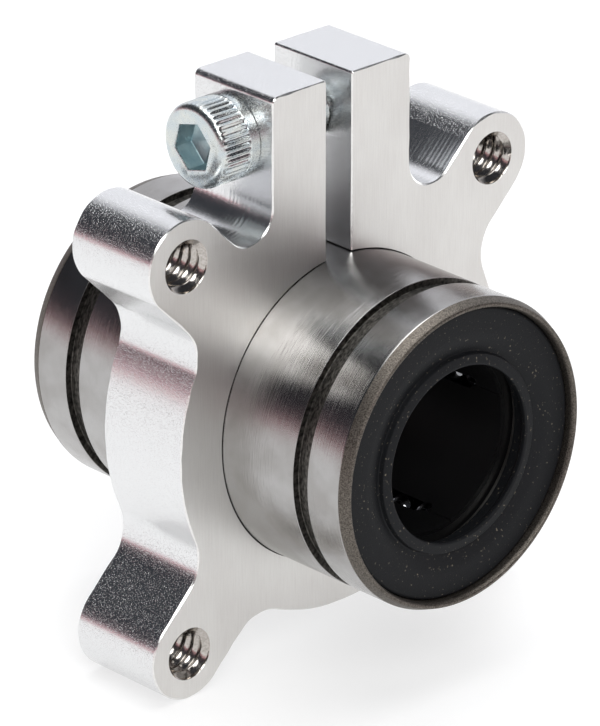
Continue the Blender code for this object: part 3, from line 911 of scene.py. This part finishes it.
def pale_matte_board():
    """A painted board for the floor, lit a little from below so that shadows on it stay faint."""
    return new_finish(
        "pale_matte_board",
        {
            "Roughness": 0.8,
            "Specular IOR Level": 0.1,
            "Emission Color": (1.0, 1.0, 1.0, 1.0),
            "Emission Strength": 0.63,
        },
        {"grain": ((2.0,) * 3, 2)},
        ["#a8a8a8", ("#acacac", "grain")],
    )


# ---------------------------------------------------------------- studio


def build_floor():
    """A wide flat square, which the lower lobes stand on."""
    mesh = bpy.data.meshes.new("floor")
    corners = [(x * FLOOR_HALF, y * FLOOR_HALF, 0) for x, y in ((-1, -1), (1, -1), (1, 1), (-1, 1))]
    mesh.from_pydata(corners, [], [(0, 1, 2, 3)])
    mesh.materials.append(pale_matte_board())
    floor = bpy.data.objects.new("floor", mesh)
    bpy.context.scene.collection.objects.link(floor)


def heading(azimuth, elevation):
    """A direction, with the azimuth turning from +Y towards +X."""
    a, e = math.radians(azimuth), math.radians(elevation)
    return (math.sin(a) * math.cos(e), math.cos(a) * math.cos(e), math.sin(e))


def build_room():
    """Soft light by direction: a bright wall behind right, a dim room elsewhere, and two soft lamps.

    One lamp is overhead, and one is in front, well above eye level.
    """
    world = bpy.data.worlds.new("studio")
    bpy.context.scene.world = world
    world.use_nodes = True
    tree = world.node_tree
    tree.nodes.clear()
    ray = add(tree, "ShaderNodeTexCoord").outputs["Generated"]
    x, y, z = add(tree, "ShaderNodeSeparateXYZ", {0: ray}).outputs
    flat = add(tree, "ShaderNodeCombineXYZ", {0: x, 1: y}).outputs[0]
    level_ray = add(tree, "ShaderNodeVectorMath", {0: flat}, operation="NORMALIZE").outputs[0]

    def glow(vector, direction, low, high, strength):
        """Light about a direction: none where the cosine of the angle to it is low, all at high."""
        both = {0: vector, 1: direction}
        cosine = add(tree, "ShaderNodeVectorMath", both, operation="DOT_PRODUCT").outputs["Value"]
        ends = {"Value": cosine, "From Min": low, "From Max": high, "To Max": strength}
        return add(tree, "ShaderNodeMapRange", ends, interpolation_type="SMOOTHSTEP").outputs["Result"]

    dim = add(tree, "ShaderNodeValToRGB", {0: z})
    stops = [
        # sine of the elevation, linear colour
        (0.0, (0.92, 0.72, 0.72)),
        (0.03, (0.82, 0.46, 0.49)),
        (0.09, (0.46, 0.28, 0.31)),
        (0.14, (0.09, 0.075, 0.085)),
        (0.35, (0.04, 0.042, 0.05)),
        (0.9, (0.05, 0.053, 0.06)),
    ]
    ramp = dim.color_ramp.elements
    while len(ramp) < len(stops):
        ramp.new(1.0)
    for element, (position, colour) in zip(ramp, stops):
        element.position = position
        element.color = (*colour, 1.0)
    wall = glow(level_ray, heading(57, 0), 0.38, 0.90, 1.0)
    above = glow(ray, heading(0, 90), 0.86, 0.95, 3.6)
    front = glow(ray, heading(-146, 41), 0.955, 0.985, 7.0)
    mixed = {0: wall, 6: dim.outputs[0], 7: (0.99, 1.0, 1.05, 1.0)}
    room = add(tree, "ShaderNodeMix", mixed, data_type="RGBA").outputs[2]
    lamps = add(tree, "ShaderNodeMath", {0: above, 1: front}, operation="ADD").outputs[0]
    light = add(tree, "ShaderNodeVectorMath", {0: room, 1: lamps}, operation="ADD").outputs[0]
    backdrop = add(tree, "ShaderNodeBackground", {"Color": light}).outputs[0]
    add(tree, "ShaderNodeOutputWorld", {"Surface": backdrop})


def build_camera():
    """A long lens, looking down at the front left of the clamp."""
    azimuth, elevation = math.radians(CAMERA_AZIMUTH), math.radians(CAMERA_ELEVATION)
    level_back = Vector((math.sin(azimuth), -math.cos(azimuth), 0))
    back = level_back * math.cos(elevation) + Vector((0, 0, math.sin(elevation)))
    right = Vector((math.cos(azimuth), math.sin(azimuth), 0))
    up = back.cross(right)
    aim = Vector((0, -PLATE_HALF, AXIS_HEIGHT)) * MM
    data = bpy.data.cameras.new("camera")
    data.lens = LENS
    camera = bpy.data.objects.new("camera", data)
    camera.location = aim + (back * CAMERA_DISTANCE - right * CAMERA_LEFT + up * CAMERA_UP) * MM
    camera.rotation_euler = (-back).to_track_quat("-Z", "Y").to_euler()
    bpy.context.scene.collection.objects.link(camera)
    bpy.context.scene.camera = camera


def main():
    build_clamp(
        [
            brushed_aluminium_face(),
            milled_aluminium("milled_aluminium_wall", 9, 3),
            deburred_aluminium_edge(),
            tapped_aluminium_painted_shade(),
            milled_aluminium("chattered_aluminium_valley", 3, 20),
        ]
    )
    build_screw(
        [
            zinc_plate("zinc_plate", "#c3ccd0", "#d3d6d2", 0.24),
            # The socket's plate is darker and bluer than the head's: painted shade down in the hexagon
            # socket.
            zinc_plate("zinc_plate_socket_painted_shade", "#a9bfc5", "#cadadc", 0.34),
        ]
    )
    build_sleeve([ground_bearing_steel(), turned_steel_rim(), blackened_groove()])
    rubber, ring = nitrile_rubber(), pressed_ring_steel()
    for name, side in (("front", -1), ("rear", 1)):
        build_seal(name, side, [rubber])
        build_stop_ring(name, [ring])
    resin = moulded_cage_resin()
    build_cage(resin)
    build_cage_lips(resin)
    build_balls(polished_ball_steel_painted_shade())
    build_floor()
    build_room()
    build_camera()
    bpy.context.scene.view_settings.view_transform = "Standard"


main()
